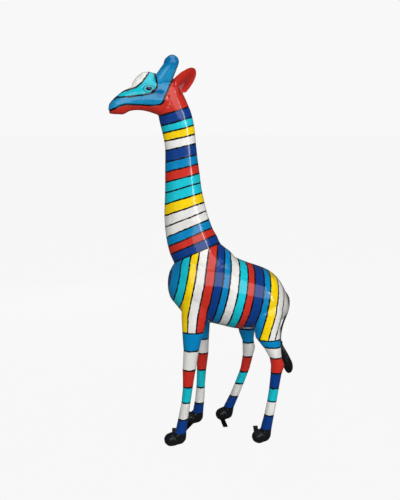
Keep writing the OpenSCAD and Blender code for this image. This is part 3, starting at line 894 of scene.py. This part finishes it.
def ear_piece(side):
    """A leaf-shaped cup: a curved sheet with a rounded rim, its hollow side turned outwards."""
    rows, columns = 30, 24
    width = columns + 1
    spots = [(i / rows, 2 * j / columns - 1) for i in range(rows + 1) for j in range(width)]
    verts = [ear_point(side, t * 0.998, u, layer) for layer in (1, -1) for t, u in spots]
    sheet = len(spots)
    faces = []
    for i in range(rows):
        for j in range(columns):
            a = i * width + j
            quad = (a, a + 1, a + width + 1, a + width)
            faces += [quad, tuple(sheet + k for k in reversed(quad))]
    border = list(range(width)) + [i * width + columns for i in range(1, rows + 1)]
    border += [rows * width + j for j in range(columns - 1, -1, -1)]
    border += [i * width for i in range(rows - 1, 0, -1)]
    faces += [(b, a, sheet + a, sheet + b) for a, b in zip(border, border[1:] + border[:1])]
    obj = new_object(f"ear_{side}_leaf", verts, faces)
    shape = bmesh.new()
    shape.from_mesh(obj.data)
    bmesh.ops.recalc_face_normals(shape, faces=shape.faces)
    shape.to_mesh(obj.data)
    shape.free()
    for polygon in obj.data.polygons:
        polygon.use_smooth = True
    # Painted shade: the cup darkens along its middle, fading out towards the rim and the tip
    shade = [max(0.0, 1 - 1.35 * abs(u)) * min(1.0, 1.6 * (1 - t)) for t, u in spots] + [0.0] * sheet
    layer = obj.data.attributes.new("shade", "FLOAT", "POINT")
    layer.data.foreach_set("value", shade)
    detail = obj.modifiers.new("smooth", "SUBSURF")
    detail.levels = detail.render_levels = 1
    return obj


def from_cad(name, suffix, voxel, rounds):
    """A finer, rounder copy of one CAD node."""
    co, faces = mesh_arrays(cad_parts[name])
    co, faces = remeshed(co, faces, voxel)
    co, faces = outer_skin(co, faces)
    co = smoothed(co, edge_pairs(faces), rounds)
    obj = new_object(f"{name}_{suffix}", co, [tuple(int(i) for i in f) for f in faces])
    for polygon in obj.data.polygons:
        polygon.use_smooth = True
    return obj


def almond(eye):
    """Widens an eye along the face and lowers it, so that the lids leave an almond of it."""
    co, _ = mesh_arrays(eye)
    middle = co.mean(axis=0)
    co = middle + (co - middle) * (1.0, 1.1, 0.74)
    eye.data.vertices.foreach_set("co", co.astype(np.float32).ravel())
    eye.data.update()


def add_fittings():
    # The ear's red deepens to a dark red as painted shade in its cup
    inside = plain_paint("ear_paint", RED, (0.24, 0.008, 0.008))
    for side in SIDES:
        ear = ear_piece(side)
        ear.data.materials.append(inside)
        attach(ear, "root")
        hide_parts(f"ear_{side}")
        eye = from_cad(f"eye_{side}", "ball", 1.2 * MM, 6)
        almond(eye)
        eye.data.materials.append(eye_paint(side))
        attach(eye, "root")
        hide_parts(f"eye_{side}")


def add_tail():
    paint = hoof_paint()
    stem = from_cad("tail_stem", "cord", 2.0 * MM, 8)
    co, faces = mesh_arrays(stem)
    co = co - vertex_normals(co, np.array(faces)) * (2.4 * MM)
    stem.data.vertices.foreach_set("co", co.astype(np.float32).ravel())
    stem.data.update()
    tuft = from_cad("tail_tuft", "hair", DETAIL_VOXEL, 10)
    co, faces = mesh_arrays(tuft)
    quads = np.array(faces)
    normal = vertex_normals(co, quads)
    low, high = (np.array(c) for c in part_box("tail_tuft"))
    t = (high[2] - co[:, 2]) / (high[2] - low[2])
    middle = np.interp(co[:, 2] / MM, [319, 348, 380, 425, 470, 505], [466, 461, 451, 433, 417, 411]) * MM
    angle = np.arctan2(co[:, 0], co[:, 1] - middle)
    groove = np.abs(np.sin(4.5 * angle + 5.0 * t)) - 0.6
    slim = 4.0 * MM * np.clip(1 - 1.6 * t, 0, 1)
    co = co + normal * (2.6 * MM * groove * np.clip(3 * t, 0, 1) - slim)[:, None]
    tuft.data.vertices.foreach_set("co", co.astype(np.float32).ravel())
    tuft.data.update()
    for piece, node in ((stem, "tail_stem"), (tuft, "tail_tuft")):
        piece.data.materials.append(paint)
        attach(piece, "root")
        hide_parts(node)


def add_tabs():
    """The flat bars, with their sheared edges broken."""
    paint = steel("tab_paint", (0.035, 0.035, 0.038), 0.42)
    for end in ("front", "rear"):
        for side in SIDES:
            node = f"tab_{end}_{side}"
            co, faces = mesh_arrays(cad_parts[node])
            bar = new_object(f"{node}_bar", co, faces)
            shape = bmesh.new()
            shape.from_mesh(bar.data)
            bmesh.ops.remove_doubles(shape, verts=shape.verts, dist=1e-6)
            flat = math.radians(2)
            bmesh.ops.dissolve_limit(shape, angle_limit=flat, verts=shape.verts, edges=shape.edges)
            shape.to_mesh(bar.data)
            shape.free()
            edge = bar.modifiers.new("edge", "BEVEL")
            edge.width = 0.7 * MM
            edge.segments = 2
            edge.limit_method = "ANGLE"
            bar.data.materials.append(paint)
            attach(bar, "root")
            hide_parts(node)


def finish_hidden():
    """The armature and bulkheads stay as the CAD made them."""
    metal = steel("armature_steel", (0.34, 0.34, 0.35), 0.5)
    board = laminate()
    for name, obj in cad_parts.items():
        if name.startswith(("spine", "shoulder", "hip", "neck_tube", "head_rod", "leg_rod", "tail_wire")):
            obj.data.materials.clear()
            obj.data.materials.append(metal)
        if name.endswith("bulkhead"):
            obj.data.materials.clear()
            obj.data.materials.append(board)


# ---------------------------------------------------------------- the studio
def stage_floor():
    """A plain pale floor that runs out to the horizon."""
    turns = np.linspace(0, 2 * math.pi, 97)[:-1]
    verts, faces = [(0, 0, 0)], []
    radii = (1.5, 4.0, 12.0, 60.0)
    for r in radii:
        verts += [(r * math.cos(a), r * math.sin(a), 0) for a in turns]
    count = len(turns)
    for j in range(count):
        k = (j + 1) % count
        faces.append((0, 1 + j, 1 + k))
        for i in range(len(radii) - 1):
            base = 1 + i * count
            faces.append((base + j, base + count + j, base + count + k, base + k))
    floor = new_object("studio_floor", verts, faces)
    mat = bpy.data.materials.new("paper")
    mat.use_nodes = True
    bsdf = mat.node_tree.nodes["Principled BSDF"]
    graph = Graph(mat.node_tree)
    grey = graph.mix(graph.noise(3.0), (0.015, 0.015, 0.015), (0.02, 0.02, 0.02))
    graph.set(bsdf.inputs["Base Color"], grey)
    bsdf.inputs["Roughness"].default_value = 1.0
    bsdf.inputs["Specular IOR Level"].default_value = 0.0
    bsdf.inputs["Emission Color"].default_value = (1, 1, 1, 1)
    bsdf.inputs["Emission Strength"].default_value = PALE - 0.02
    floor.data.materials.append(mat)
    floor.visible_glossy = False
    floor.visible_diffuse = False


def area_light(name, place, aim, size, power):
    data = bpy.data.lights.new(name, "AREA")
    data.shape = "RECTANGLE"
    data.size, data.size_y = size
    data.energy = power
    lamp = bpy.data.objects.new(name, data)
    bpy.context.scene.collection.objects.link(lamp)
    lamp.location = place
    lamp.rotation_euler = (Vector(aim) - Vector(place)).to_track_quat("-Z", "Y").to_euler()
    lamp.visible_camera = False
    return lamp


def studio_lights():
    """A pale surround to look at, dim to light by, and three big soft boxes."""
    world = bpy.data.worlds.new("studio")
    bpy.context.scene.world = world
    world.use_nodes = True
    tree = world.node_tree
    back = tree.nodes["Background"]
    back.inputs["Color"].default_value = (1, 1, 1, 1)
    graph = Graph(tree)
    path = graph.node("ShaderNodeLightPath")
    dimmed = graph.math("MULTIPLY_ADD", path.outputs["Is Glossy Ray"], MIRRORED - AMBIENT, AMBIENT)
    seen = path.outputs["Is Camera Ray"]
    graph.set(back.inputs["Strength"], graph.math("MAXIMUM", dimmed, graph.math("MULTIPLY", seen, PALE)))
    area_light("window", (5.0, 1.2, 4.6), (0, 1.2, 4.6), (10.0, 5.6), 265)
    area_light("top", (0.4, 0.1, 4.4), (0, 0, 0.8), (3.0, 3.4), 40)
    area_light("side", (2.8, 3.0, 1.8), (0, 0.1, 0.9), (0.5, 2.2), 24)
    for place, power in (((3.4, -2.6, 0.9), 56), ((3.2, 2.2, 0.7), 34), ((-3.4, -1.0, 1.6), 60)):
        fill = area_light("fill", place, (0, 0, 0.8), (2.0, 2.0), power)
        fill.visible_glossy = False


def add_camera():
    data = bpy.data.cameras.new("camera")
    data.lens = LENS
    data.sensor_width = 36
    cam = bpy.data.objects.new("camera", data)
    bpy.context.scene.collection.objects.link(cam)
    cam.location = EYE
    heading = Vector((-VIEW[0], -VIEW[1], 0)) * math.cos(PITCH) + Vector((0, 0, -math.sin(PITCH)))
    cam.rotation_euler = heading.to_track_quat("-Z", "Y").to_euler()
    bpy.context.scene.camera = cam


bpy.context.scene.view_settings.view_transform = "Standard"
add_camera()
stage_floor()
studio_lights()
skin_pieces()
add_fittings()
add_tail()
add_tabs()
finish_hidden()
